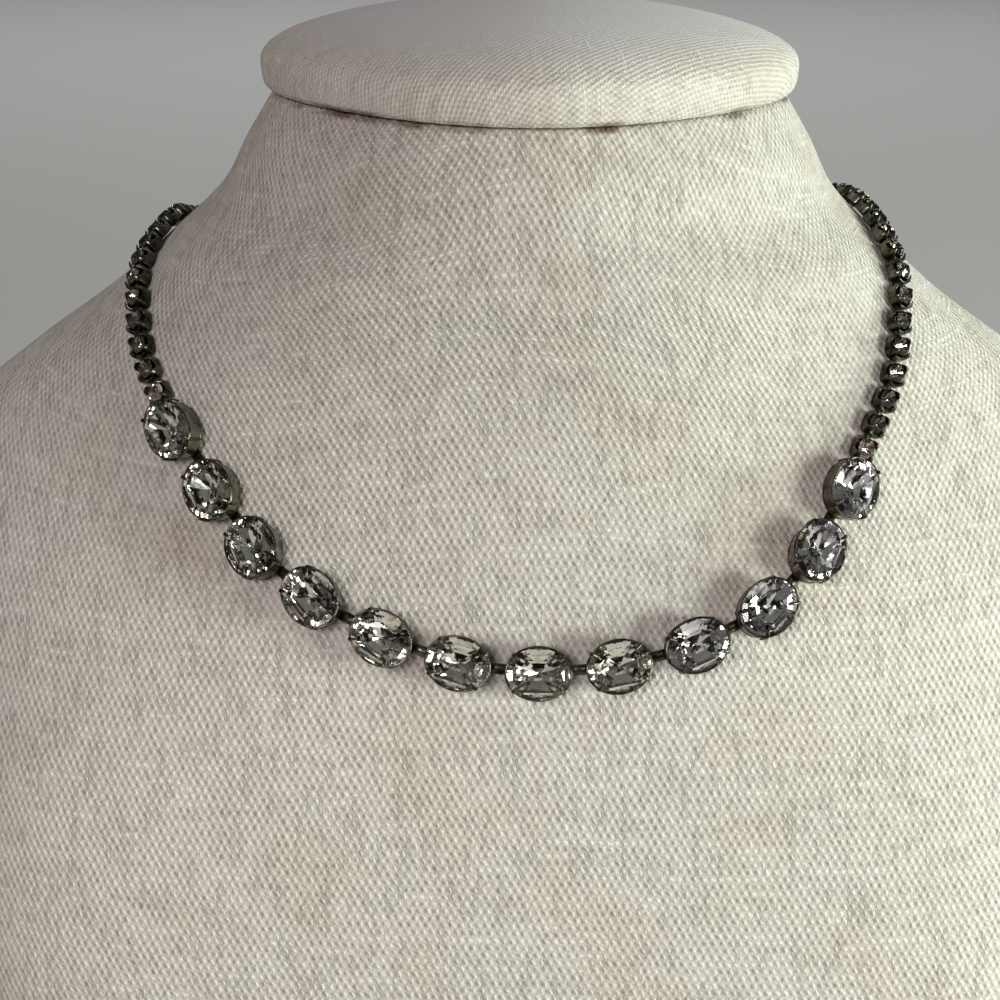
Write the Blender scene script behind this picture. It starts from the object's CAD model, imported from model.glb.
"""Looks of a rhinestone necklace on a linen neck bust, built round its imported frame.

Lengths are in millimetres, in the part's own axes: +Z is up, -Y is the front of the chest and +X
is the viewer's right. They become metres in one place, where a mesh is made. Angles are in
degrees, and angle 0 round the bust is the front centre line.
"""

import logging
import math
from dataclasses import dataclass, field
from enum import Enum
from functools import partial
from typing import Any, Callable, Sequence

import bpy
import numpy as np
from mathutils import Matrix, Vector


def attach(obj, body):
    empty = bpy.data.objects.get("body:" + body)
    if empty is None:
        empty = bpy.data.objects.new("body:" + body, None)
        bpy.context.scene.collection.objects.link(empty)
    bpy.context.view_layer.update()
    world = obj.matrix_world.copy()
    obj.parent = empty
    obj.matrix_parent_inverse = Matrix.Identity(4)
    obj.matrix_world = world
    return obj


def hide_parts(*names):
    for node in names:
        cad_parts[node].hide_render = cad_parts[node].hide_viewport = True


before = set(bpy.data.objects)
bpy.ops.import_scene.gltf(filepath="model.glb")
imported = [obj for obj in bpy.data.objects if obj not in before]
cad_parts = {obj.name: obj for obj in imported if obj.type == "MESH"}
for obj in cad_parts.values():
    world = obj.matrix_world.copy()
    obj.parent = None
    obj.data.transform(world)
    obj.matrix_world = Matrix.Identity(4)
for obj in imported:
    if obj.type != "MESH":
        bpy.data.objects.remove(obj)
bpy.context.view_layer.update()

MM = 0.001
CLOTH_UV = "cloth_mm"
AddNode = Callable[..., bpy.types.Node]
LOG = logging.getLogger("necklace")


def linear(hex_colour: str) -> tuple[float, float, float, float]:
    """Turns an sRGB hex colour into linear light.

    Args:
        hex_colour: Six hex digits after a hash, such as "#d9d5c3".

    Returns:
        Red, green, blue and an alpha of 1.
    """
    channels = [int(hex_colour[i:i + 2], 16) / 255 for i in (1, 3, 5)]
    red, green, blue = (c / 12.92 if c <= 0.04045 else ((c + 0.055) / 1.055) ** 2.4 for c in channels)
    return red, green, blue, 1.0


def add_node(tree: bpy.types.NodeTree, kind: str, *inputs: Any, named: dict[str, Any] | None = None,
             **settings: Any) -> bpy.types.Node:
    """Adds a node, sets it up and links what flows into it.

    Args:
        tree: The node tree that the node joins.
        kind: The node's type after "ShaderNode", such as "Math".
        inputs: One entry for each input in order: a node, a socket, a value, or None to leave it.
            A node stands for its first output in use.
        named: The same by the input's name.
        settings: The node's own properties.

    Returns:
        The new node.
    """
    node = tree.nodes.new("ShaderNode" + kind)
    for key, value in settings.items():
        setattr(node, key, value)
    for key, value in list(enumerate(inputs)) + list((named or {}).items()):
        if isinstance(value, bpy.types.Node):
            value = next(socket for socket in value.outputs if socket.enabled)
        if isinstance(value, bpy.types.NodeSocket):
            tree.links.new(value, node.inputs[key])
        elif value is not None:
            node.inputs[key].default_value = value
    return node


def new_material(name: str) -> tuple[bpy.types.Material, AddNode]:
    """Makes an empty node material.

    Args:
        name: The material's name.

    Returns:
        The material and a function that adds a node to its tree.
    """
    material = bpy.data.materials.new(name)
    material.use_nodes = True
    material.node_tree.nodes.clear()
    return material, partial(add_node, material.node_tree)


def new_object(name: str, data: bpy.types.ID) -> bpy.types.Object:
    """Makes an object of a mesh, a lamp or a camera, and puts it into the scene."""
    made = bpy.data.objects.new(name, data)
    bpy.context.scene.collection.objects.link(made)
    return made


def smooth_at(rows: np.ndarray, column: int, x: np.ndarray) -> np.ndarray:
    """Reads a table at x along a smooth curve through its rows.

    Between two rows the curve is a cubic whose slope at a row is the rise over the run between
    the rows on both sides of it.

    Args:
        rows: The table, whose first column rises.
        column: The column to read.
        x: Where to read it.

    Returns:
        The column's value at each x.
    """
    knots, values = rows[:, 0], rows[:, column]
    after = np.minimum(np.arange(len(knots)) + 1, len(knots) - 1)
    before = np.maximum(np.arange(len(knots)) - 1, 0)
    slopes = (values[after] - values[before]) / (knots[after] - knots[before])
    i = np.clip(np.searchsorted(knots, x, side="right") - 1, 0, len(knots) - 2)
    run = knots[i + 1] - knots[i]
    u = np.clip((x - knots[i]) / run, 0, 1)
    return ((2 * u**3 - 3 * u**2 + 1) * values[i] + (u**3 - 2 * u**2 + u) * run * slopes[i]
            + (3 * u**2 - 2 * u**3) * values[i + 1] + (u**3 - u**2) * run * slopes[i + 1])


def unit(vectors: np.ndarray) -> np.ndarray:
    """Scales each vector of an array to length 1."""
    return vectors / np.linalg.norm(vectors, axis=-1, keepdims=True)


def ring_points(half: Any, angle: Any, z: Any, stretch: float = 1.0) -> np.ndarray:
    """Places points on ovals: a circle of the half width, stretched along x.

    Args:
        half: Half widths.
        angle: Angles from the x axis, in radians.
        z: Heights.
        stretch: Length of the oval over its width.

    Returns:
        The points, with x, y and z on the last axis.
    """
    half, angle, z = np.broadcast_arrays(half, angle, z)
    return np.stack([stretch * half * np.cos(angle), half * np.sin(angle), z], axis=-1)


def grid_faces(rows: int, columns: int) -> np.ndarray:
    """Lists the four-sided faces of a grid of points whose last column joins the first.

    A face runs from its point to the next column, then to the next row, so it faces the way of
    the column's direction crossed with the row's.

    Args:
        rows: Number of rows.
        columns: Number of points in a row.

    Returns:
        Four point numbers for each face.
    """
    r, c = np.meshgrid(np.arange(rows - 1), np.arange(columns), indexing="ij")
    here, right = r * columns + c, r * columns + (c + 1) % columns
    return np.stack([here, right, right + columns, here + columns], axis=-1).reshape(-1, 4)


def end_faces(rows: int, columns: int) -> np.ndarray:
    """Lists the two faces that close such a grid, one over its first row and one over its last."""
    return np.stack([np.arange(columns)[::-1], (rows - 1) * columns + np.arange(columns)])


class Patchwork:
    """Collects patches of surface and makes one closed piece of them."""

    def __init__(self) -> None:
        """Starts with no patches."""
        self.points: list[np.ndarray] = []
        self.corners: list[np.ndarray] = []
        self.sizes: list[np.ndarray] = []
        self.finishes: list[np.ndarray] = []
        self.smooth: list[np.ndarray] = []
        self.maps: list[np.ndarray] = []
        self.count = 0

    def add_points(self, points: np.ndarray) -> int:
        """Adds points.

        Args:
            points: Any array whose last axis is x, y and z, in millimetres.

        Returns:
            The number of the first new point.
        """
        start = self.count
        self.points.append(points.reshape(-1, 3))
        self.count += len(self.points[-1])
        return start

    def add_faces(self, faces: np.ndarray, finish: int | np.ndarray = 0, smooth: bool = True,
                  cloth_map: np.ndarray | None = None) -> None:
        """Adds faces that all have the same number of corners.

        Args:
            faces: Point numbers, a row for each face.
            finish: Number of the material in the piece's list, for all faces or for each.
            smooth: True to shade the faces as one curved surface.
            cloth_map: Two cloth coordinates for each corner, in millimetres.
        """
        count, sides = faces.shape
        self.corners.append(faces.reshape(-1))
        self.sizes.append(np.full(count, sides))
        self.finishes.append(np.broadcast_to(finish, count))
        self.smooth.append(np.full(count, smooth))
        self.maps.append(np.zeros((count * sides, 2)) if cloth_map is None else cloth_map.reshape(-1, 2))

    def add_shells(self, points: np.ndarray, finish: int | Sequence[int] = 0) -> None:
        """Adds closed shells of one kind, such as tubes, cups and bars.

        A shell is a grid of rings. Its first and last ring are each closed with a flat face.

        Args:
            points: Points by shell, row, column and axis.
            finish: Number of the material in the piece's list, for all or for each row of faces.
        """
        shells, rows, columns = points.shape[:3]
        start = self.add_points(points)
        copies = start + np.arange(shells)[:, None, None] * rows * columns
        by_row = np.broadcast_to(finish, rows - 1)
        self.add_faces((copies + grid_faces(rows, columns)).reshape(-1, 4),
                       np.tile(np.repeat(by_row, columns), shells))
        self.add_faces((copies + end_faces(rows, columns)).reshape(-1, columns),
                       np.tile(by_row[[0, -1]], shells), smooth=False)

    def piece(self, name: str, materials: Sequence[bpy.types.Material],
              replaces: Sequence[str] = ()) -> bpy.types.Object:
        """Makes the object and ties it to the frame.

        Args:
            name: The piece's name.
            materials: Its materials, in the order of the faces' finish numbers.
            replaces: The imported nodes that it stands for.

        Returns:
            The new object, which rides on the one body.
        """
        points = np.concatenate(self.points) * MM
        corners, sizes = np.concatenate(self.corners), np.concatenate(self.sizes)
        mesh = bpy.data.meshes.new(name)
        mesh.vertices.add(len(points))
        mesh.vertices.foreach_set("co", points.astype(np.float32).ravel())
        mesh.loops.add(len(corners))
        mesh.loops.foreach_set("vertex_index", corners.astype(np.int32))
        mesh.polygons.add(len(sizes))
        mesh.polygons.foreach_set("loop_start", (np.cumsum(sizes) - sizes).astype(np.int32))
        mesh.polygons.foreach_set("material_index", np.concatenate(self.finishes).astype(np.int32))
        mesh.polygons.foreach_set("use_smooth", np.concatenate(self.smooth))
        mesh.uv_layers.new(name=CLOTH_UV).data.foreach_set(
            "uv", np.concatenate(self.maps).astype(np.float32).ravel())
        for material in materials:
            mesh.materials.append(material)
        mesh.update(calc_edges=True)
        mesh.validate()
        made = new_object(name, mesh)
        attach(made, "root")
        if replaces:
            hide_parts(*replaces)
        LOG.info("%s: %d faces", name, len(mesh.polygons))
        return made


@dataclass
class BustForm:
    """The shape of the neck bust: rounded sections stacked from the base to the neck seam."""

    seam_z: float = 228.0
    # Steps round the bust, in degrees, and up it, that give the outward directions.
    turn_step: float = 0.6
    rise_step: float = 0.5
    # Height in percent of the seam height, half width, depth in front, depth behind, and
    # fullness: 0 is an ellipse, more is squarer and less is more pointed.
    rows: np.ndarray = field(default_factory=lambda: np.array([
        [0, 104, 74, 46, 0.21],
        [26, 111, 84, 49, 0.33],
        [48, 115, 75.2, 50, 0.29],
        [64, 120, 63.8, 47.8, 0.02],
        [72, 112.4, 56.1, 44.9, -0.13],
        [79, 93.5, 53, 40.7, -0.12],
        [84, 77.7, 53.1, 36.9, -0.07],
        [88.5, 66.1, 55, 33.8, 0.01],
        [92.5, 56.7, 52.6, 33.4, -0.06],
        [96.5, 51.7, 50.4, 34.4, -0.06],
        [100, 46.7, 46.7, 35.5, -0.12],
    ]))

    def point(self, angle: np.ndarray, z: np.ndarray, share: float | np.ndarray = 1.0) -> np.ndarray:
        """Places points on the bust.

        A section is a rounded oval. With f for its fullness, x is the half width times the sine
        of the angle times 1 + f cos^2, and y is the depth times the cosine times 1 + f sin^2,
        towards the front.

        Args:
            angle: Angles round the bust.
            z: Heights.
            share: Share of the section's size.

        Returns:
            The points, with x, y and z on the last axis.
        """
        angle, z, share = np.broadcast_arrays(np.radians(angle), np.asarray(z, float), share)
        level = np.minimum(100 * z / self.seam_z, 100)
        sine, cosine = np.sin(angle), np.cos(angle)
        depth = np.where(cosine > 0, smooth_at(self.rows, 2, level), smooth_at(self.rows, 3, level))
        full = smooth_at(self.rows, 4, level)
        x = share * smooth_at(self.rows, 1, level) * sine * (1 + full * cosine**2)
        y = -share * depth * cosine * (1 + full * sine**2)
        return np.stack([x, y, z], axis=-1)

    def normal(self, angle: np.ndarray, z: np.ndarray) -> np.ndarray:
        """Gives the outward directions of the bust, from small steps round it and up it."""
        around = self.point(angle + self.turn_step, z) - self.point(angle - self.turn_step, z)
        upward = self.point(angle, z + self.rise_step) - self.point(angle, z - self.rise_step)
        return unit(np.cross(around, upward))


@dataclass
class Places:
    """Places on the necklace's route: where, and the three directions there."""

    origin: np.ndarray
    along: np.ndarray
    across: np.ndarray
    out: np.ndarray

    def put(self, shape: np.ndarray) -> np.ndarray:
        """Puts a copy of a shape at each place.

        A point is the place's origin plus its x along, its y across and its z outwards.

        Args:
            shape: Points of one shape, with x, y and z on the last axis.

        Returns:
            The points of all copies, a block for each place.
        """
        turned = np.stack([self.along, self.across, self.out], axis=-2)
        return np.einsum("pk,nkj->npj", shape.reshape(-1, 3), turned) + self.origin[:, None, :]

    def one(self, number: int) -> "Places":
        """Gives a single place by its number, as places of their own."""
        only = slice(number, number + 1)
        return Places(self.origin[only], self.along[only], self.across[only], self.out[only])

    def lifted(self, height: float) -> "Places":
        """Gives the same places, moved away from the cloth."""
        return Places(self.origin + height * self.out, self.along, self.across, self.out)


@dataclass
class NecklaceRoute:
    """The line that the necklace follows round the bust, and lengths along it."""

    form: BustForm
    step: float = 0.3
    # Angle round the bust and height in percent of the seam height.
    rows: np.ndarray = field(default_factory=lambda: np.array([
        [-220, 86.8], [-180, 87.3], [-140, 87.3], [-112, 87.7], [-94, 88.5], [-78, 86.8], [-60, 83.2],
        [-40, 76.6], [-20, 67.2], [0, 61.9], [20, 65.7], [40, 76.8], [60, 84.6], [78, 88.9],
        [94, 90.4], [112, 90.1], [140, 86.8], [180, 87.3], [220, 87.3],
    ]))

    def __post_init__(self) -> None:
        """Measures the route from the front centre line, a degree at a time."""
        right, left = (np.linalg.norm(np.diff(self.point(side * np.arange(0.0, 181.0)), axis=0), axis=1)
                       for side in (1, -1))
        self.right_length, self.left_length = right.sum(), left.sum()
        self.lengths = np.concatenate([-np.cumsum(left)[::-1], [0], np.cumsum(right)])
        self.angles = np.arange(-180.0, 181.0)

    def point(self, angle: np.ndarray) -> np.ndarray:
        """Gives the route's points at angles round the bust."""
        return self.form.point(angle, self.form.seam_z * smooth_at(self.rows, 1, angle) / 100)

    def places(self, lengths: Sequence[float] | np.ndarray) -> Places:
        """Finds places at lengths from the front centre line.

        Args:
            lengths: Lengths along the necklace, to the viewer's right.

        Returns:
            The places, on the cloth.
        """
        s = np.asarray(lengths, float)
        loop = self.right_length + self.left_length
        angle = np.interp(np.where(s > self.right_length, s - loop, s), self.lengths, self.angles)
        here = self.point(angle)
        out = self.form.normal(angle, here[..., 2])
        ahead = self.point(angle + self.step) - self.point(angle - self.step)
        across = unit(np.cross(out, ahead))
        return Places(here, np.cross(across, out), across, out)

    def between(self, starts: np.ndarray, ends: np.ndarray, lift: float) -> tuple[Places, np.ndarray]:
        """Finds straight bars between pairs of places.

        Args:
            starts: Lengths where the bars start.
            ends: Lengths where they end.
            lift: Height of the bars' middle layer above the cloth.

        Returns:
            Places at the middles of the bars, and the bars' lengths.
        """
        a, b = self.places(starts).lifted(lift).origin, self.places(ends).lifted(lift).origin
        along = unit(b - a)
        across = unit(np.cross(self.places((starts + ends) / 2).out, along))
        return Places((a + b) / 2, along, across, np.cross(along, across)), np.linalg.norm(b - a, axis=1)


@dataclass(frozen=True)
class LinenFinish:
    """Linen: unbleached flax yarn in a slubby plain weave, matt, with lit thread tops.

    The real cloth has about 14 warp threads to the centimetre, and thicker weft threads, about 8
    to the centimetre. Where a warp thread crosses on top it shows as a bright bead, and between
    the beads lie dark gaps. Pitches, relief, bend, heights and spread are in millimetres. The
    bend's scale is waves to the millimetre, so threads wander over about 8 mm. The scales of
    stains and dirt are patches to the metre: stains are about 20 mm across, and the seam's dirt
    breaks up every 11 mm.
    """

    name: str = "linen_plain_weave"
    warp_pitch: float = 0.71
    weft_pitch: float = 1.23
    slant: float = 0.6
    relief: float = 0.42
    bend: float = 1.0
    bend_scale: float = 0.13
    uneven: float = 0.42
    slubs: float = 0.7
    # Noise to a thread along u and v, for thick and thin places in the warp and in the weft.
    slub_scales: tuple[tuple[float, float, float], ...] = ((3.7, 0.15, 1), (0.08, 3.7, 1))
    fibres: float = 0.8
    fibre_scales: tuple[float, float, float] = (1.7, 2.0, 1)
    bright_line: float = 0.2
    dark_slit: float = 0.5
    thread: str = "#ebebe2"
    weft: str = "#c8c6bc"
    gap: str = "#aca89e"
    stain: str = "#e6d7c6"
    stain_share: float = 0.3
    stain_scale: float = 50.0
    fleck: str = "#6b5a49"
    fleck_share: float = 0.4
    seam_dirt: str = "#5e3f1f"
    seam_dirt_share: float = 0.9
    seam_dirt_scale: float = 90.0
    seam_z: float = 228.0
    seam_spread: float = 1.3
    soil: str = "#ecebeb"
    soil_heights: tuple[float, float] = (150.0, 190.0)
    dust: str = "#c3c4c6"
    dust_heights: tuple[float, float] = (236.0, 242.0)
    dust_share: float = 0.0

    def threads(self, add: AddNode) -> tuple[bpy.types.Node, bpy.types.Node]:
        """Draws the weave.

        Warp and weft are counted along u and v. The product of cos(pi u) and cos(pi v), to the
        power of 1.5 with its sign kept, is 1 on the beads and -1 in the gaps. A number of its
        own makes each crossing stand out more or less. Noise in several sizes bends the threads,
        noise stretched along them makes them thick and thin, and fine noise stands for the
        fibres. Where a weft thread is thickest its back shows as a thin bright line, and where a
        warp thread is thinnest a dark slit opens beside it.

        Args:
            add: The function that adds a node to the material.

        Returns:
            Nodes with the cloth's height, mostly from 0 to 1, and the thread counts both ways.
        """
        cloth = add("UVMap", uv_map=CLOTH_UV)
        bend = add("TexNoise", cloth, named={"Scale": self.bend_scale, "Detail": 4.0, "Roughness": 0.5})
        bend = add("VectorMath", bend.outputs["Color"], (0.5, 0.5, 0.5), operation="SUBTRACT")
        bend = add("VectorMath", bend, (self.bend, self.bend, 0), cloth, operation="MULTIPLY_ADD")
        counts = add("VectorMath", bend, (1 / self.warp_pitch, 1 / self.weft_pitch, 0),
                     operation="MULTIPLY")
        split = add("SeparateXYZ", counts)
        v = split.outputs["Y"]
        weft_number = add("Math", v, operation="ROUND")
        u = add("Math", add("Math", v, weft_number, operation="SUBTRACT"), self.slant, split.outputs["X"],
                operation="MULTIPLY_ADD")
        warp_number = add("Math", u, operation="ROUND")
        across = [add("Math", add("Math", count, math.pi, operation="MULTIPLY"), operation="COSINE")
                  for count in (u, v)]
        product = add("Math", *across, operation="MULTIPLY")
        steep = add("Math", add("Math", product, operation="ABSOLUTE"), 1.5, operation="POWER")
        bead = add("Math", add("Math", product, operation="SIGN"), steep, operation="MULTIPLY")
        chance = add("TexWhiteNoise", add("CombineXYZ", warp_number, weft_number), noise_dimensions="2D")
        stand_out = add("MapRange", chance, 0.0, 1.0, 1 - self.uneven, 1 + self.uneven)
        bead = add("Math", bead, stand_out, operation="MULTIPLY")
        height = add("Math", bead, 0.45, 0.5, operation="MULTIPLY_ADD")
        middle = [add("Math", cosine, operation="ABSOLUTE") for cosine in across]
        threads = [add("CombineXYZ", warp_number, v), add("CombineXYZ", u, weft_number)]
        slubs = [add("TexNoise", add("VectorMath", thread, scales, operation="MULTIPLY"),
                     named={"Scale": 1.0, "Detail": 2.0})
                 for thread, scales in zip(threads, self.slub_scales)]
        for near, slub in zip(middle, slubs):
            thick = add("Math", add("Math", slub, 0.5, operation="SUBTRACT"), self.slubs,
                        operation="MULTIPLY")
            height = add("Math", thick, near, height, operation="MULTIPLY_ADD")
        fibre = add("TexNoise", add("VectorMath", counts, self.fibre_scales, operation="MULTIPLY"),
                    named={"Scale": 1.0, "Detail": 2.0, "Roughness": 0.7})
        height = add("Math", add("Math", fibre, 0.5, operation="SUBTRACT"), self.fibres, height,
                     operation="MULTIPLY_ADD")
        height = add("Math", add("MapRange", slubs[1], 0.56, 0.64, 0.0, self.bright_line),
                     add("MapRange", middle[1], 0.75, 1.0), height, operation="MULTIPLY_ADD")
        height = add("Math", add("MapRange", slubs[0], 0.38, 0.44, -self.dark_slit, 0.0),
                     add("MapRange", middle[0], 0.0, 0.5, 1.0, 0.0), height, operation="MULTIPLY_ADD")
        return height, counts

    def material(self) -> bpy.types.Material:
        """Makes the material: the weave, then stains, flecks, soil, seam dirt and dust over it."""
        material, add = new_material(self.name)
        height, counts = self.threads(add)
        yarn = add("Mix", named={"Factor": add("MapRange", height, 0.5, 0.9), 6: linear(self.weft),
                                 7: linear(self.thread)}, data_type="RGBA")
        colour = add("Mix", named={"Factor": add("MapRange", height, 0.0, 0.5), 6: linear(self.gap),
                                   7: yarn}, data_type="RGBA")
        place = add("TexCoord").outputs["Object"]
        z = add("SeparateXYZ", place).outputs["Z"]
        clouds = add("TexNoise", place, named={"Scale": self.stain_scale, "Detail": 4.0})
        specks = add("TexNoise", add("VectorMath", counts, (0.5, 0.55, 1), operation="MULTIPLY"),
                     named={"Scale": 1.0, "Detail": 1.0})
        soiled = add("MapRange", z, *(height_mm * MM for height_mm in self.soil_heights))
        off_seam = add("Math", add("Math", z, self.seam_z * MM, operation="SUBTRACT"),
                       operation="ABSOLUTE")
        near = add("MapRange", off_seam, 0.5 * self.seam_spread * MM, self.seam_spread * MM,
                   self.seam_dirt_share, 0.0)
        patches = add("TexNoise", place, named={"Scale": self.seam_dirt_scale, "Detail": 5.0})
        dusty = add("MapRange", z, *(height_mm * MM for height_mm in self.dust_heights), 0.0,
                    self.dust_share)
        layers = [
            (add("MapRange", clouds, 0.48, 0.7, 0.0, self.stain_share), self.stain, "MULTIPLY"),
            (add("MapRange", specks, 0.7, 0.78, 0.0, self.fleck_share), self.fleck, "MIX"),
            (soiled, self.soil, "MULTIPLY"),
            (add("Math", near, add("MapRange", patches, 0.44, 0.6), operation="MULTIPLY"),
             self.seam_dirt, "MIX"),
            (dusty, self.dust, "MIX"),
        ]
        for share, over, blend in layers:
            colour = add("Mix", named={"Factor": share, 6: colour, 7: linear(over)},
                         data_type="RGBA", blend_type=blend)
        clean = add("Math", 1.0, dusty, operation="SUBTRACT")
        bump = add("Bump", named={"Strength": clean, "Distance": self.relief * MM, "Height": height})
        shader = add("BsdfPrincipled", named={
            "Base Color": colour, "Roughness": 0.93, "Specular IOR Level": 0.2, "Normal": bump,
            "Sheen Weight": 0.12, "Sheen Roughness": 0.6})
        add("OutputMaterial", shader)
        return material


@dataclass(frozen=True)
class AgedMetalFinish:
    """White-metal plate over brass, once polished and now dulled, with brown tarnish in patches.

    The scales are patches to the metre: tarnish is about 2.4 mm across and scratches 0.2 mm.
    """

    name: str
    bright: str
    tarnish: str
    tarnish_from: float = 0.42
    tarnish_to: float = 0.62
    patch_scale: float = 420.0
    scratch_scale: float = 5200.0
    scratch_depth: float = 0.02
    smooth: float = 0.2
    dull: float = 0.46

    def material(self) -> bpy.types.Material:
        """Makes the material: duller where it is tarnished, with fine wear as bump."""
        material, add = new_material(self.name)
        place = add("TexCoord").outputs["Object"]
        patches = add("TexNoise", place, named={"Scale": self.patch_scale, "Detail": 4.0, "Roughness": 0.6})
        tarnish = add("MapRange", patches, self.tarnish_from, self.tarnish_to)
        colour = add("Mix", named={"Factor": tarnish, 6: linear(self.bright), 7: linear(self.tarnish)},
                     data_type="RGBA")
        wear = add("TexNoise", place, named={"Scale": self.scratch_scale, "Detail": 2.0})
        rough = add("MapRange", tarnish, 0.0, 1.0, self.smooth, self.dull)
        bump = add("Bump", named={"Strength": 0.12, "Distance": self.scratch_depth * MM,
                                  "Height": wear})
        shader = add("BsdfPrincipled", named={"Base Color": colour, "Metallic": 1.0, "Roughness": rough,
                                              "Normal": bump})
        add("OutputMaterial", shader)
        return material


@dataclass(frozen=True)
class GlassFinish:
    """Pressed lead glass, polished: clear, with sharp facet edges and mirror-like glints."""

    name: str = "lead_glass"
    tint: str = "#ffffff"
    refraction: float = 1.55

    def material(self) -> bpy.types.Material:
        """Makes the material: smooth clear glass."""
        material, add = new_material(self.name)
        shader = add("BsdfPrincipled", named={
            "Base Color": linear(self.tint), "Roughness": 0.0, "IOR": self.refraction,
            "Transmission Weight": 1.0})
        add("OutputMaterial", shader)
        return material


@dataclass(frozen=True)
class FoilFinish:
    """Silver foil behind the glass: a bright mirror, clouded where damp has reached it.

    The scale is clouds to the metre, so they are about 2 mm across.
    """

    name: str
    silver: str
    cloud: str
    cloud_from: float = 0.5
    cloud_to: float = 0.75
    cloud_scale: float = 500.0
    smooth: float = 0.04
    dull: float = 0.22

    def material(self) -> bpy.types.Material:
        """Makes the material: a tinted mirror with darker and duller clouds."""
        material, add = new_material(self.name)
        place = add("TexCoord").outputs["Object"]
        noise = add("TexNoise", place, named={"Scale": self.cloud_scale, "Detail": 3.0})
        clouds = add("MapRange", noise, self.cloud_from, self.cloud_to)
        colour = add("Mix", named={"Factor": clouds, 6: linear(self.silver), 7: linear(self.cloud)},
                     data_type="RGBA")
        rough = add("MapRange", clouds, 0.0, 1.0, self.smooth, self.dull)
        shader = add("BsdfPrincipled", named={"Base Color": colour, "Metallic": 1.0, "Roughness": rough})
        add("OutputMaterial", shader)
        return material


class Tone(Enum):
    """The cast of the foil behind a stone, as its age and its light give it."""

    CLEAR = FoilFinish("silver_foil_clear", "#faf9ef", "#bbbaac")
    OLIVE = FoilFinish("silver_foil_olive", "#f2f1e8", "#96978a")
    LAVENDER = FoilFinish("silver_foil_lavender", "#f8f6f7", "#b8b5ba")
    PINK = FoilFinish("silver_foil_pink", "#f4e8e4", "#bba8a3")
    DARK = FoilFinish("silver_foil_dark", "#8d867a", "#4a4238")


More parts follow.
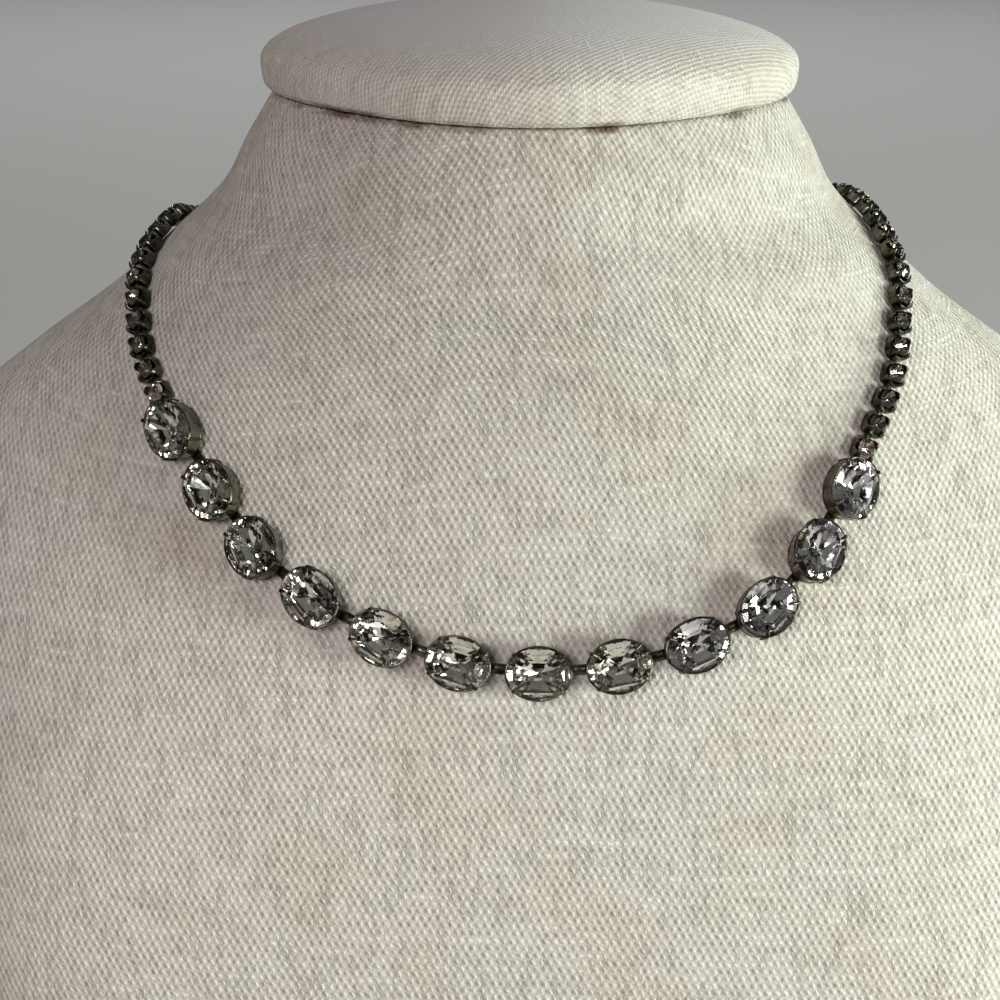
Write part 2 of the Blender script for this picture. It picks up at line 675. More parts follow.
@dataclass
class NeckBust:
    """The linen-covered neck, shoulders and chest, closed underneath."""

    form: BustForm
    finish: LinenFinish
    columns: int = 300
    rows: int = 210
    foot_radius: float = 2.5
    edge_radius: float = 1.1
    edge_steps: int = 6
    tuck: float = 7.0
    # How far from the base and from the seam the outward directions are still read.
    margins: tuple[float, float] = (1.0, 0.6)
    unevenness: float = 0.16
    # Waves of the stuffing: how many go round, how far they turn per millimetre of height, and
    # where they start, both in radians.
    waves: tuple[tuple[float, float, float], ...] = ((3, 0.045, 0), (5, -0.08, 1.3), (7, 0.11, 4))
    pucker_depth: float = 0.1
    pucker_count: int = 90
    pucker_fade: float = 4.0
    back_seam_depth: float = 0.55
    back_seam_width: float = 1.1
    # Radius that turns angles off the back's middle line into lengths.
    back_radius: float = 45.0

    def profile(self) -> tuple[np.ndarray, np.ndarray]:
        """Gives the heights and the insets of the skin's rows.

        The rows rise from the base round the foot's edge, up the side, and round the neck's edge,
        where the cloth is tucked in under the cap. Both edges are quarter circles.

        Returns:
            The height of each row, and how far it lies inside the outline.
        """
        turn = np.radians(np.linspace(0, 90, self.edge_steps))
        top = self.form.seam_z
        heights = [[0.0], self.foot_radius * (1 - np.cos(turn)),
                   np.linspace(self.foot_radius, top - self.edge_radius, self.rows)[1:-1],
                   top - self.edge_radius * (1 - np.sin(turn)), [top]]
        insets = [[self.tuck], self.foot_radius * (1 - np.sin(turn)), np.zeros(self.rows - 2),
                  self.edge_radius * (1 - np.cos(turn)), [self.tuck]]
        return np.concatenate(heights), np.concatenate(insets)

    def skin(self) -> tuple[np.ndarray, np.ndarray]:
        """Works out the skin and its cloth coordinates.

        A point is the form's point, moved along the outward direction: in by its row's inset, in
        and out by slow waves of the stuffing, in small puckers that fade out just below the
        neck seam, and in at the seam up the back, as exp(-(distance / width) squared). The cloth
        coordinates are the lengths along the row from the front and up the column.

        Returns:
            Points by row and column, and cloth coordinates with one more column, which repeats
            the first at the other end of the cloth.
        """
        z, inset = self.profile()
        angle = np.linspace(-180, 180, self.columns + 1)
        z, inset, angle = z[:, None], inset[:, None], angle[None, :]
        points = self.form.point(angle, z)
        out = self.form.normal(angle, np.clip(z, self.margins[0], self.form.seam_z - self.margins[1]))
        flat_out = unit(out * [1, 1, 0])
        t = np.radians(angle)
        waves = sum(np.sin(count * t + turn * z + start) for count, turn, start in self.waves)
        below = self.form.seam_z - z
        gathers = np.sin(self.pucker_count * t + 2 * np.sin(9 * t))
        puckers = np.exp(-(below / self.pucker_fade) ** 2) * gathers
        from_back = np.radians(180 - np.abs(angle)) * self.back_radius
        valley = np.exp(-(from_back / self.back_seam_width) ** 2)
        depth = (self.unevenness * (waves / len(self.waves) - 1) + self.pucker_depth * (puckers - 1)
                 - self.back_seam_depth * valley)
        points = points + depth[..., None] * out - inset[..., None] * flat_out
        steps = np.linalg.norm(np.diff(points, axis=1), axis=-1)
        u = np.concatenate([np.zeros_like(z), np.cumsum(steps, axis=1)], axis=1)
        u = u - u[:, self.columns // 2][:, None]
        rises = np.linalg.norm(np.diff(points, axis=0), axis=-1)
        v = np.concatenate([np.zeros_like(angle), np.cumsum(rises, axis=0)], axis=0)
        return points[:, :-1], np.stack([u, v], axis=-1)

    def build(self) -> bpy.types.Object:
        """Builds the bust and dresses it in linen."""
        points, cloth = self.skin()
        rows, columns = points.shape[:2]
        work = Patchwork()
        work.add_points(points)
        faces = grid_faces(rows, columns)
        corner_columns = (np.arange(columns)[:, None] + [0, 1, 1, 0])[None]
        corner_rows = np.arange(rows - 1)[:, None, None] + [0, 0, 1, 1]
        work.add_faces(faces, cloth_map=cloth[corner_rows, corner_columns])
        ends = end_faces(rows, columns)
        work.add_faces(ends, smooth=False, cloth_map=points.reshape(-1, 3)[ends][..., :2])
        return work.piece("bust_linen", [self.finish.material()], ["neck_bust"])


@dataclass
class NeckCap:
    """The padded oval that closes the neck, covered in the same linen on the bias."""

    form: BustForm
    finish: LinenFinish
    height: float = 17.1
    overhang: float = 2.0
    gap: float = 0.3
    columns: int = 288
    rows: int = 64
    grain_turn: float = 74.0
    pucker_depth: float = 0.12
    pucker_count: int = 64
    # Share of the height and share of the widest size, from the seam up.
    outline: np.ndarray = field(default_factory=lambda: np.array([
        [0, 0, 0.972], [1, 0.06, 0.99], [2, 0.18, 1], [3, 0.36, 0.998], [4, 0.5, 0.955],
        [5, 0.64, 0.86], [6, 0.78, 0.69], [7, 0.88, 0.5], [8, 0.95, 0.31], [9, 1, 0.1],
    ]))

    def skin(self) -> tuple[np.ndarray, np.ndarray]:
        """Works out the skin and its cloth coordinates.

        A ring is the bust's own seam outline, scaled by the outline's share and lifted by its
        height, with small puckers that fade towards the middle. The cloth coordinates are the
        length over the top from the middle, laid out flat and turned by the grain's angle.

        Returns:
            Points by row and column, and two cloth coordinates for each point.
        """
        step = np.linspace(0, len(self.outline) - 1, self.rows)
        rise = smooth_at(self.outline, 1, step)[:, None]
        share = smooth_at(self.outline, 2, step)[:, None]
        angle = np.linspace(-180, 180, self.columns + 1)[None, :-1]
        t = np.radians(angle)
        widest = 1 + self.overhang / self.form.rows[-1, 1]
        gathers = np.sin(self.pucker_count * t + 3 * np.sin(5 * t))
        puckers = self.pucker_depth * (1 - rise) ** 2 * (gathers - 1)
        ring = self.form.point(angle, self.form.seam_z, share * widest)
        ring = ring + puckers[..., None] * unit(ring * [1, 1, 0])
        ring[..., 2] = self.form.seam_z + self.gap + rise * (self.height - self.gap)
        spans = np.linalg.norm(np.diff(ring, axis=0), axis=-1)
        inner = np.linalg.norm(ring[-1, :, :2], axis=-1)
        reach = np.concatenate([np.cumsum(spans[::-1], axis=0)[::-1] + inner, inner[None]], axis=0)
        turn = np.radians(self.grain_turn)
        grain = np.array([[np.cos(turn), np.sin(turn)], [-np.sin(turn), np.cos(turn)]])
        return ring, ((reach[..., None] * unit(ring[..., :2])) @ grain).reshape(-1, 2)

    def build(self) -> bpy.types.Object:
        """Builds the cap and dresses it in linen."""
        ring, cloth = self.skin()
        work = Patchwork()
        work.add_points(ring)
        for faces in (grid_faces(self.rows, self.columns), end_faces(self.rows, self.columns)):
            work.add_faces(faces, cloth_map=cloth[faces])
        cap = work.piece("cap_linen", [self.finish.material()], ["neck_cap"])
        return cap


@dataclass
class StoneRow:
    """The row of oval settings along the front, from the viewer's left to right."""

    route: NecklaceRoute
    count: int = 12
    left_of_lowest: int = 6
    pitch: float = 13.2
    shift: float = 2.9
    lift: float = 1.2
    # How far each setting has turned in its links, and how far it leans up.
    swing: tuple[float, ...] = (-1, -9, -15, -16, -11, -5, 0, 2, 4, 12, 6, 8)
    lean: tuple[float, ...] = (-3, -1, -4, -2, 1, 2, 1, 2, 2, 0, 0, -2)

    def lengths(self) -> np.ndarray:
        """Gives the lengths along the route of the settings' centres."""
        return self.shift + self.pitch * (np.arange(self.count) - self.left_of_lowest)

    def places(self) -> Places:
        """Finds where the settings sit.

        A setting is first turned in its own plane by its swing, then tipped about the line of
        the necklace by its lean, so its three directions are sums of the route's with sines and
        cosines of the two angles.

        Returns:
            A place for each setting, at the underside of its floor.
        """
        on_cloth = self.route.places(self.lengths()).lifted(self.lift)
        swing, lean = np.radians(self.swing)[:, None], -np.radians(self.lean)[:, None]
        across = on_cloth.across * np.cos(lean) + on_cloth.out * np.sin(lean)
        out = on_cloth.out * np.cos(lean) - on_cloth.across * np.sin(lean)
        along = on_cloth.along * np.cos(swing) + across * np.sin(swing)
        return Places(on_cloth.origin, along, across * np.cos(swing) - on_cloth.along * np.sin(swing), out)


@dataclass
class OvalSetting:
    """A stamped oval cup of white metal with four prongs bent over the stone."""

    length: float = 11.0
    width: float = 9.0
    height: float = 4.2
    taper: float = 0.6
    wall: float = 0.35
    girdle_z: float = 3.65
    columns: int = 64
    bead: float = 0.09
    prong_angle: float = 42.0
    prong_width: float = 0.66
    prong_thickness: float = 0.32
    prong_sides: int = 10
    rim_drop: float = 0.2
    rim_wall: float = 0.2
    ledge_z: float = 3.42
    # Path of a prong: how far outside the wall, height above the cup's floor, and share of its
    # full width.
    prong_path: np.ndarray = field(default_factory=lambda: np.array([
        [0.02, 0.9, 1], [0.13, 1.3, 1], [0.17, 2.4, 1], [0.17, 3.7, 1], [0.12, 4.25, 1],
        [-0.08, 4.62, 0.96], [-0.42, 4.74, 0.86], [-0.8, 4.78, 0.74], [-1.12, 4.9, 0.6],
        [-1.32, 5.0, 0.34],
    ]))

    @property
    def stretch(self) -> float:
        """Length of the oval over its width."""
        return self.length / self.width

    def cup(self) -> tuple[np.ndarray, np.ndarray]:
        """Works out the cup as rows of ovals from the middle of its floor out, up and back in.

        The outside flares from the foot as the height to the power of 1.5, with a thin bead
        round the foot and another round the rim. Inside, a ledge carries the stone's girdle.

        Returns:
            Points by row and column, and the finish of each row of faces: 0 is the plated wall
            and 1 the blackened edges.
        """
        top, base = self.height - self.rim_drop, self.width / 2 - self.taper / 2
        side = np.linspace(0.35, top - 0.5, 7)
        flare = self.taper / 2 * (side / top) ** 1.5
        rim, bead, inner = self.width / 2, self.bead, self.width / 2 - self.rim_wall
        foot = [(base - 0.6, 0), (base - 0.12, 0), (base + bead, 0.08), (base + bead, 0.2),
                (base + 0.02, 0.3)]
        mouth = [(rim - 0.03, top - 0.4), (rim + bead, top - 0.3), (rim + bead, top - 0.1),
                 (rim - 0.03, top - 0.01), (inner + 0.06, top), (inner, top - 0.05),
                 (inner, self.ledge_z), (inner - 0.18, self.ledge_z),
                 (base - self.wall, self.wall), (base - self.wall - 0.6, self.wall)]
        half, z = np.concatenate([foot, np.stack([base + flare, side], axis=-1), mouth]).T
        angle = np.linspace(0, 2 * np.pi, self.columns, endpoint=False)
        edges = np.ones(len(z) - 1, int)
        edges[len(foot) - 1:len(foot) + len(side) - 1] = 0
        return ring_points(half[:, None], angle[None, :], z[:, None], self.stretch), edges

    def prong(self, side: int, end: int) -> np.ndarray:
        """Works out one prong as a flat bar swept along its bent path.

        The path lies in the upright plane that points away from the stone's middle. A section is
        a flat rounded ring: its half width times the cosine across the path, and its half
        thickness times the sine off it, each raised to the power of 0.7 with its sign kept.

        Args:
            side: 1 or -1, for the two long sides.
            end: 1 or -1, for the two ends.

        Returns:
            Points by row and column.
        """
        turn = np.radians(self.prong_angle)
        foot = np.array([end * self.length / 2 * np.cos(turn), side * self.width / 2 * np.sin(turn), 0])
        away = unit(foot)
        sideways = np.array([-away[1], away[0], 0])
        outside, height, widths = self.prong_path.T[:, :, None]
        path = foot + outside * away + height * [0, 0, 1]
        ahead = unit(np.gradient(path, axis=0))
        off = unit(np.cross(ahead, sideways))
        ring = np.linspace(0, 2 * np.pi, self.prong_sides, endpoint=False)
        across, thick = (np.sign(wave) * np.abs(wave) ** 0.7 * size / 2
                         for wave, size in ((np.cos(ring), self.prong_width),
                                            (np.sin(ring), self.prong_thickness)))
        return (path[:, None] + (widths * across)[..., None] * sideways
                + (np.sqrt(widths) * thick)[..., None] * off[:, None])

    def build(self, place: Places, number: int, plate: bpy.types.Material,
              black: bpy.types.Material) -> bpy.types.Object:
        """Builds one setting at its place and dresses it in aged metal.

        Args:
            place: Its one place on the necklace.
            number: Its number from the viewer's left.
            plate: The plated metal of its wall.
            black: The blackened metal of its edges and prongs.

        Returns:
            The finished piece.
        """
        work = Patchwork()
        shape, edges = self.cup()
        work.add_shells(place.put(shape).reshape(1, *shape.shape), edges)
        prongs = np.stack([self.prong(side, end) for side in (-1, 1) for end in (-1, 1)])
        work.add_shells(place.put(prongs).reshape(prongs.shape), 1)
        return work.piece(f"oval_setting_{number:02d}", [plate, black],
                          [f"setting_{number:02d}"])


@dataclass
class OvalStone:
    """A foil-backed oval stone: eight-cornered table, two tiers of crown facets, a star below."""

    setting: OvalSetting
    gap: float = 0.05
    crown_height: float = 1.5
    depth: float = 2.6
    table_share: float = 0.6
    tier_share: float = 0.86
    tier_z: float = 0.62
    tier_fall: float = 1.77
    star_share: float = 0.52
    arc_points: int = 4
    # Angles of the crown's corners, so that the facets on the long sides are the longest.
    corners: tuple[float, ...] = (18, 58, 122, 162, 198, 238, 302, 342)

    @property
    def half(self) -> float:
        """Half the width of the girdle, which keeps the gap to the rim round it."""
        return self.setting.width / 2 - self.setting.rim_wall - self.gap

    def rings(self) -> dict[str, np.ndarray]:
        """Works out the rings of points.

        Table, tier and star have a point at each corner's angle, and the girdle has further ones
        on the arcs between. The outer tier's facets fall from its straight edges at one slope, so
        the girdle's upper edge follows the slope: it is lowest at the middle of each facet. A
        star point lies on the slope from the tip to the girdle, on the middle line of the facets
        beside it.

        Returns:
            The rings by name.
        """
        corner = np.radians(self.corners)
        spread = (np.roll(corner, -1) - corner) % (2 * np.pi)
        part = np.arange(self.arc_points) / self.arc_points
        arc = corner[:, None] + spread[:, None] * part
        off = np.cos(arc - (corner + spread / 2)[:, None]) - self.tier_share * np.cos(spread / 2)[:, None]
        star_z = -self.depth * (1 - self.star_share * np.cos((spread + np.roll(spread, 1)) / 4))
        oval, half = partial(ring_points, stretch=self.setting.stretch), self.half
        return {
            "table": oval(half * self.table_share, corner, self.crown_height),
            "tier": oval(half * self.tier_share, corner, self.tier_z),
            "upper": oval(half, arc.ravel(), (self.tier_z - self.tier_fall * off).ravel()),
            "lower": oval(half, arc.ravel(), 0.0),
            "star": oval(half * self.star_share, corner, star_z),
            "tip": np.array([0, 0, -self.depth]),
        }

    def build(self, place: Places, number: int, glass: bpy.types.Material,
              foil: bpy.types.Material) -> bpy.types.Object:
        """Builds one stone: clear glass above its girdle, foil on the facets below.

        Args:
            place: The stone's one place, at its girdle.
            number: Its number from the viewer's left.
            glass: The glass.
            foil: The foil.

        Returns:
            The finished piece.
        """
        work = Patchwork()
        start = {name: work.add_points(place.put(ring)) for name, ring in self.rings().items()}
        count, arc = len(self.corners), self.arc_points
        total, half_arc = count * arc, arc // 2
        k = np.arange(count)[:, None]
        j = np.arange(total)[:, None]
        after, ahead = (k + 1) % count, (j + 1) % total
        span = (k * arc + np.arange(arc + 1)) % total
        crown = [
            start["table"] + k.T,
            np.hstack([start["tier"] + k, start["tier"] + after, start["table"] + after,
                       start["table"] + k]),
            np.hstack([start["upper"] + span, start["tier"] + after, start["tier"] + k]),
            np.hstack([start["lower"] + j, start["lower"] + ahead, start["upper"] + ahead,
                       start["upper"] + j]),
        ]
        middle = (k * arc + half_arc) % total
        before = (k * arc - half_arc + np.arange(half_arc + 1)) % total
        beyond = (k * arc + np.arange(half_arc + 1)) % total
        tip = np.full_like(k, start["tip"])
        pavilion = [
            np.hstack([tip, start["star"] + after, start["lower"] + middle, start["star"] + k]),
            np.hstack([start["star"] + k, start["lower"] + before[:, ::-1]]),
            np.hstack([start["star"] + k, start["lower"] + beyond[:, ::-1]]),
        ]
        for faces in crown:
            work.add_faces(faces, smooth=False)
        for faces in pavilion:
            work.add_faces(faces, finish=1, smooth=False)
        return work.piece(f"oval_stone_{number:02d}", [glass, foil],
                          [f"stone_{number:02d}"])


@dataclass
class FlatBar:
    """A flat metal strip with worn, rounded edges, such as joins two settings or two cups."""

    width: float = 1.8
    thickness: float = 0.6
    edge: float = 0.16

    def shape(self, length: float) -> np.ndarray:
        """Works out the strip as rows of rounded oblongs along it.

        A section is an oblong with its corners cut, and its ends draw in by the same edge.

        Args:
            length: Length of the strip.

        Returns:
            Points by row and column.
        """
        x = np.array([-0.5, -0.5, 0.5, 0.5]) * length + np.array([0, 1, -1, 0]) * self.edge
        inset = np.array([1, 0, 0, 1]) * self.edge
        w, t, e = self.width / 2, self.thickness / 2, self.edge
        outline = np.array([[w - e, -t], [w, e - t], [w, t - e], [w - e, t],
                            [e - w, t], [-w, t - e], [-w, e - t], [e - w, -t]])
        section = outline[None] - np.sign(outline)[None] * inset[:, None, None]
        return np.concatenate([np.broadcast_to(x[:, None, None], (4, 8, 1)), section], axis=-1)


def add_bars(work: Patchwork, bar: FlatBar, places: Places, lengths: np.ndarray) -> None:
    """Adds a bar at each place.

    Args:
        work: The piece being put together.
        bar: The bar's section.
        places: The bars' middles.
        lengths: The bars' lengths.
    """
    for number, length in enumerate(lengths):
        shape = bar.shape(float(length))
        work.add_shells(places.one(number).put(shape).reshape(1, *shape.shape))


@dataclass
class Links:
    """The flat links that join the oval settings underneath."""

    stones: StoneRow
    bar: FlatBar = field(default_factory=FlatBar)
    reach: float = 3.4
    cloth_gap: float = 0.3

    def build(self, metal: bpy.types.Material) -> list[bpy.types.Object]:
        """Builds every link as a piece of its own.

        Args:
            metal: The tarnished metal.

        Returns:
            The pieces, from the viewer's left.
        """
        centres = self.stones.lengths()
        places, lengths = self.stones.route.between(
            centres[:-1] + self.reach, centres[1:] - self.reach, self.cloth_gap + self.bar.thickness / 2)
        made = []
        for i, length in enumerate(lengths):
            work = Patchwork()
            add_bars(work, self.bar, places.one(i), np.array([length]))
            made.append(work.piece(f"flat_link_{i + 1:02d}", [metal], [f"link_{i + 1:02d}"]))
        return made


@dataclass
class CupChain:
    """One side's chain of square four-prong cups, soldered to the bars that join them."""

    route: NecklaceRoute
    side: int
    start: float
    pitch: float = 4.9
    first: float = 8.0
    width: float = 4.2
    cloth_gap: float = 0.3
    reach: float = 3.4
    clasp_half: float = 7.0
    clasp_room: float = 0.8
    wall: float = 0.32
    floor: float = 0.4
    valley: float = 1.55
    tip: float = 3.0
    bend_from: float = 2.15
    lean_in: float = 0.3
    corner_power: float = 4.2
    columns: int = 40
    bar: FlatBar = field(default_factory=lambda: FlatBar(1.3, 0.7, 0.12))

    @property
    def label(self) -> str:
        """The side's name."""
        return "left" if self.side < 0 else "right"

    def lengths(self) -> np.ndarray:
        """Gives the lengths along the route of the cups' centres, up to the clasp."""
        end = -self.route.left_length if self.side < 0 else self.route.right_length
        room = abs(end - self.start) - self.first - self.clasp_half - self.width / 2 - self.clasp_room
        return self.start + self.side * (self.first + self.pitch * np.arange(int(room / self.pitch) + 1))

    def cup(self) -> np.ndarray:
        """Works out one cup as rows from the middle of its floor out, up its prongs and back in.

        The outline is a rounded square: the half width over the power mean of cosine and sine.
        The upper edge is low on the flat sides and rises to the prongs as the 6th power of the
        sine of twice the angle. Above the bend the prongs lean in by their share.

        Returns:
            Points by row and column.
        """
        angle = np.linspace(0, 2 * np.pi, self.columns, endpoint=False)
        power = self.corner_power
        mean = (np.abs(np.cos(angle)) ** power + np.abs(np.sin(angle)) ** power) ** (1 / power)
        radius = self.width / 2 / mean
        edge = self.valley + (self.tip - self.valley) * np.abs(np.sin(2 * angle)) ** 6
        share = np.array([0, 0.12, 0.45, 0.75, 0.93, 1])[:, None]
        z = 0.1 + share * (edge - 0.1)
        lean = np.clip((z - self.bend_from) / (self.tip - self.bend_from), 0, 1) ** 1.2 * self.lean_in
        outer = radius * (1 - lean)
        inner = outer - self.wall
        level = np.zeros(self.columns)
        rows = [(radius * 0.3, level), (radius - 0.15, level)]
        rows += [(outer[i], z[i]) for i in range(len(share))]
        rows += [(inner[-1] + 0.05, z[-1] + 0.03)]
        rows += [(inner[i], z[i] - 0.04) for i in (5, 4, 3)]
        rows += [(radius - self.wall, level + self.floor), (radius * 0.3, level + self.floor)]
        return np.stack([ring_points(half, angle, z) for half, z in rows])

    def build(self, metal: bpy.types.Material, bar_end: float) -> bpy.types.Object:
        """Builds the side's cups and bars as one piece and dresses it in tarnished metal.

        Args:
            metal: The tarnished metal.
            bar_end: Length along the route where the last bar ends, under the clasp.

        Returns:
            The finished piece.
        """
        lengths = self.lengths()
        work = Patchwork()
        shape = self.cup()
        points = self.route.places(lengths).lifted(self.cloth_gap).put(shape)
        work.add_shells(points.reshape(len(lengths), *shape.shape))
        lift = self.cloth_gap + self.bar.thickness / 2
        first = lengths[0] - self.side * (self.first - self.reach)
        ends_of_bars = np.concatenate([[first], lengths, [bar_end]])
        places, spans = self.route.between(ends_of_bars[:-1], ends_of_bars[1:], lift)
        add_bars(work, self.bar, places, spans)
        return work.piece(f"cup_chain_{self.label}_metal", [metal],
                          [f"cup_chain_{self.label}"])

    def build_stones(self, stone: "ChainStone",
                     materials: Sequence[bpy.types.Material]) -> bpy.types.Object:
        """Builds the side's small stones as one piece.

        Args:
            stone: The small stone's sizes.
            materials: The glass, the foil, and the foil of the stone next to the settings.

        Returns:
            The finished piece.
        """
        places = self.route.places(self.lengths()).lifted(self.cloth_gap + stone.girdle_z)
        work = Patchwork()
        stone.add(work, places)
        return work.piece(f"chain_stones_{self.label}_glass", materials,
                          [f"chain_stones_{self.label}"])


@dataclass
class ChainStone:
    """A small round stone: eight-sided table, one ring of crown facets, a pointed back."""

    diameter: float = 3.5
    girdle_z: float = 2.2
    crown: float = 0.9
    table_share: float = 0.55
    depth: float = 1.4
    sides: int = 8

    def add(self, work: Patchwork, places: Places) -> None:
        """Adds a stone at each place, the first with a foil of its own.

        The girdle has twice as many points as the table has corners, so that a crown facet
        with four corners lies between two with three.

        Args:
            work: The piece being put together.
            places: The stones' places, at their girdles.
        """
        n, half = self.sides, self.diameter / 2
        corner = np.linspace(0, 2 * np.pi, n, endpoint=False)
        girdle = np.linspace(0, 2 * np.pi, 2 * n, endpoint=False) - np.pi / (2 * n)
        shape = np.concatenate([ring_points(half * self.table_share, corner, self.crown),
                                ring_points(half, girdle, 0.0), [[0, 0, -self.depth]]])
        start = work.add_points(places.put(shape))
        copies = start + np.arange(len(places.origin))[:, None, None] * len(shape)
        k = np.arange(n)[:, None]
        after = (k + 1) % n
        low, high, next_low = n + 2 * k, n + 2 * k + 1, n + (2 * k + 2) % (2 * n)
        tip = np.full_like(k, 3 * n)
        crown = [k.T, np.hstack([low, high, k]), np.hstack([high, next_low, after, k])]
        back = [np.hstack([high, low, tip]), np.hstack([next_low, high, tip])]
        for faces in crown:
            work.add_faces((copies + faces).reshape(-1, faces.shape[1]), smooth=False)
        for faces in back:
            foil = np.repeat(np.where(np.arange(len(places.origin)) == 0, 2, 1), len(faces))
            work.add_faces((copies + faces).reshape(-1, faces.shape[1]), foil, smooth=False)


@dataclass
class Clasp:
    """The plain flat clasp behind the neck, over the ends of both chains."""

    left: CupChain
    right: CupChain
    lift: float = 2.1
    length: float = 14.0
    hold: float = 1.6
    body: FlatBar = field(default_factory=lambda: FlatBar(5.0, 1.6, 0.35))

    def middle(self) -> float:
        """Gives the length along the route of the clasp's middle, halfway between the chains."""
        route = self.left.route
        return 0.5 * (self.left.lengths()[-1] + self.right.lengths()[-1] + route.left_length
                      + route.right_length)

    def bar_end(self, side: int) -> float:
        """Gives the length where the last bar of one side ends, a little under the clasp."""
        route = self.left.route
        loop = route.left_length + route.right_length
        return self.middle() - side * (self.length / 2 - self.hold) - (loop if side < 0 else 0.0)

    def build(self, metal: bpy.types.Material) -> bpy.types.Object:
        """Builds the clasp at the back and dresses it in aged metal."""
        work = Patchwork()
        places = self.left.route.places([self.middle()]).lifted(self.lift)
        add_bars(work, self.body, places, np.array([self.length]))
        return work.piece("clasp_plate", [metal], ["clasp"])


@dataclass
class PhotoCamera:
    """The camera, where the photograph was taken from."""

    elevation: float = 19.6
    yaw: float = -0.9
    roll: float = 0.46
    distance: float = 341.0
    look_at: tuple[float, float, float] = (-3.9, -50.0, 165.8)
    focal_px: float = 2008.0
    frame_px: float = 1000.0
    sensor_mm: float = 36.0

    def build(self) -> bpy.types.Object:
        """Builds the camera.

        It looks down by its elevation and sideways by its yaw, stands back from the point that it
        looks at by its distance, and is then rolled about its own line of sight.

        Returns:
            The camera's object.
        """
        pitch, yaw, roll = (math.radians(a) for a in (self.elevation, self.yaw, self.roll))
        ahead = Vector((math.sin(yaw) * math.cos(pitch), math.cos(yaw) * math.cos(pitch), -math.sin(pitch)))
        right = Vector((math.cos(yaw), -math.sin(yaw), 0))
        up = right.cross(ahead)
        right, up = (math.cos(roll) * right + math.sin(roll) * up,
                     math.cos(roll) * up - math.sin(roll) * right)
        lens = bpy.data.cameras.new("photo_camera")
        lens.sensor_width = self.sensor_mm
        lens.lens = self.focal_px / self.frame_px * self.sensor_mm
        lens.clip_start, lens.clip_end = 0.01, 100.0
        camera = new_object("photo_camera", lens)
        place = (Vector(self.look_at) - self.distance * ahead) * MM
        camera.matrix_world = Matrix.Translation(place) @ Matrix((right, up, -ahead)).transposed().to_4x4()
        bpy.context.scene.camera = camera
        return camera


@dataclass
class SoftBox:
    """A soft rectangular studio light."""

    name: str
    place: tuple[float, float, float]
    size: tuple[float, float]
    watts: float
    colour: str
    aim: tuple[float, float, float] = (0.0, -40.0, 150.0)

    def build(self) -> bpy.types.Object:
        """Builds the light, aimed at the necklace."""
        lamp = bpy.data.lights.new(self.name, "AREA")
        lamp.shape = "RECTANGLE"
        lamp.size, lamp.size_y = (side * MM for side in self.size)
        lamp.energy = self.watts
        lamp.color = linear(self.colour)[:3]
        light = new_object(self.name, lamp)
        toward = Vector(self.aim) - Vector(self.place)
        light.matrix_world = Matrix.Translation(Vector(self.place) * MM) @ toward.to_track_quat(
            "-Z", "Y").to_matrix().to_4x4()
        light.visible_camera = False
        return light


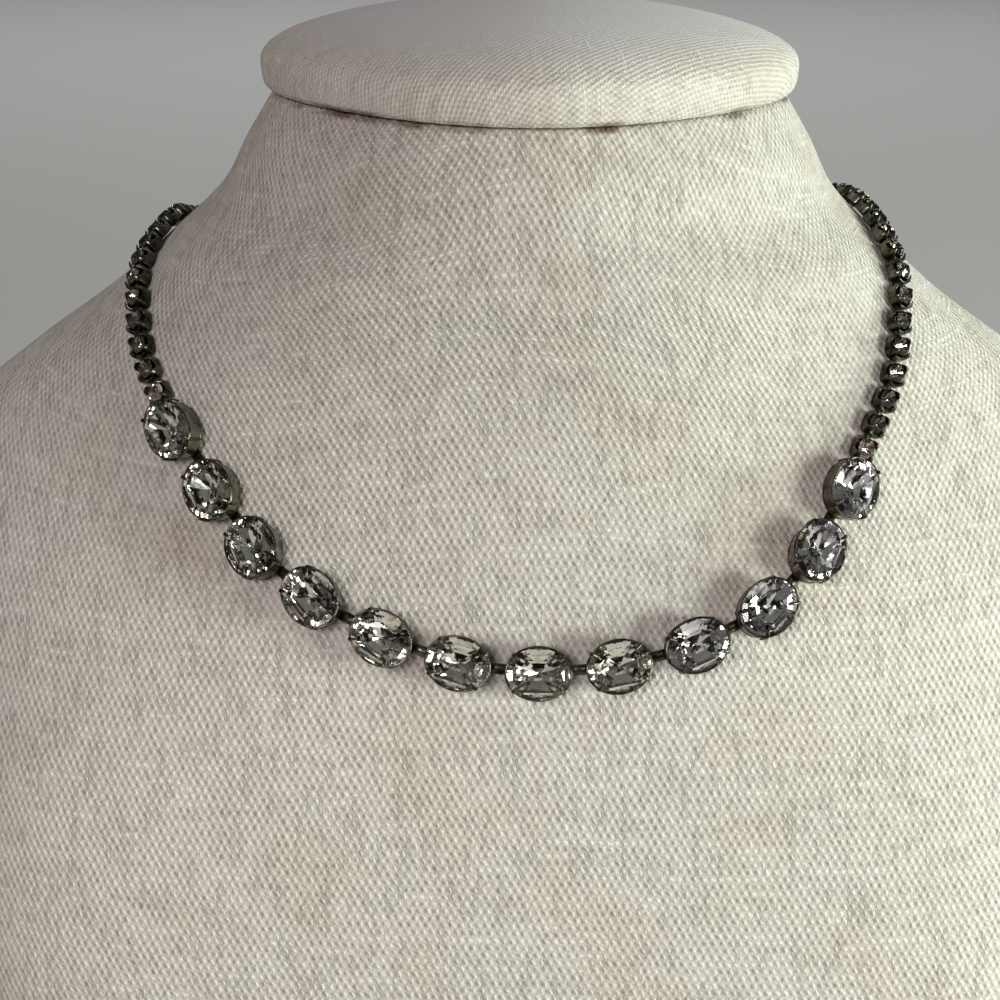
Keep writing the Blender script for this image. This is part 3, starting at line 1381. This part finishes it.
@dataclass
class Studio:
    """The plain pale floor, the soft lights and the grey room round them."""

    floor_half: float = 6000.0
    floor_colour: str = "#cacac9"
    room_low: str = "#40403e"
    room_high: str = "#ebebe6"
    room_strength: float = 0.17
    boxes: tuple[SoftBox, ...] = (
        SoftBox("key_light", (1060, -740, 270), (450, 400), 13.2, "#f8fff6"),
        SoftBox("side_light", (1200, 100, 260), (420, 360), 14.0, "#f8fff2"),
        SoftBox("front_light", (-340, -1150, 700), (480, 290), 7.8, "#fff0f1"),
        SoftBox("back_light", (0, 1900, 1500), (2600, 1200), 16.0, "#ffffff", (0.0, 2100.0, 0.0)),
    )

    def floor(self) -> bpy.types.Object:
        """Builds the floor: a big sheet of pale matt paper."""
        material, add = new_material("pale_matt_paper")
        shader = add("BsdfPrincipled", named={"Base Color": linear(self.floor_colour), "Roughness": 0.9,
                                              "Specular IOR Level": 0.1})
        add("OutputMaterial", shader)
        half = self.floor_half * MM
        mesh = bpy.data.meshes.new("paper_floor")
        mesh.from_pydata([(-half, -half, 0), (half, -half, 0), (half, half, 0), (-half, half, 0)], [],
                         [(0, 1, 2, 3)])
        mesh.materials.append(material)
        floor = new_object("paper_floor", mesh)
        return floor

    def room(self) -> None:
        """Lights the world: dim near the horizon and pale overhead."""
        world = bpy.data.worlds.new("grey_room")
        world.use_nodes = True
        world.node_tree.nodes.clear()
        add = partial(add_node, world.node_tree)
        up = add("SeparateXYZ", add("TexCoord").outputs["Generated"]).outputs["Z"]
        colour = add("Mix", named={"Factor": add("MapRange", up, 0.0, 0.6), 6: linear(self.room_low),
                                   7: linear(self.room_high)}, data_type="RGBA")
        add("OutputWorld", add("Background", colour, self.room_strength))
        bpy.context.scene.world = world

    def build(self) -> None:
        """Builds the floor, the lights and the room."""
        self.floor()
        self.room()
        for box in self.boxes:
            box.build()
        scene = bpy.context.scene
        scene.view_settings.view_transform = "Standard"
        scene.cycles.caustics_reflective = False
        scene.cycles.caustics_refractive = False


def main() -> None:
    """Builds the scene, a sub-assembly at a time."""
    logging.basicConfig(level=logging.INFO, format="%(message)s")
    PhotoCamera().build()
    Studio().build()

    form = BustForm()
    NeckBust(form, LinenFinish()).build()
    NeckCap(form, LinenFinish(name="linen_cap_weave", warp_pitch=0.55, weft_pitch=0.8, relief=0.22,
                              uneven=0.3, thread="#e2e1d8", weft="#cbc9bf", gap="#b3b0a5",
                              dust_share=0.8)).build()

    plate = AgedMetalFinish("aged_white_metal", "#8f8979", "#4f473b").material()
    black = AgedMetalFinish("blackened_white_metal", "#6a6558", "#1f1b17").material()
    brown = AgedMetalFinish("tarnished_brass", "#606051", "#1f1e18").material()
    glass = GlassFinish().material()
    foils = {tone: tone.value.material() for tone in Tone}

    route = NecklaceRoute(form)
    row = StoneRow(route)
    setting = OvalSetting()
    stone = OvalStone(setting)
    places = row.places()
    for i, tone in enumerate([Tone.OLIVE] * 4 + [Tone.CLEAR] * 4 + [Tone.LAVENDER] * 4):
        one = places.one(i)
        setting.build(one, i + 1, plate, black)
        stone.build(one.lifted(setting.girdle_z), i + 1, glass, foils[tone])
    Links(row).build(brown)
    chains = [CupChain(route, -1, row.lengths()[0]), CupChain(route, 1, row.lengths()[-1])]
    clasp = Clasp(*chains)
    clasp.build(plate)
    for chain in chains:
        chain.build(brown, clasp.bar_end(chain.side))
        chain.build_stones(ChainStone(), [glass, foils[Tone.DARK], foils[Tone.PINK]])


if __name__ == "__main__":
    main()
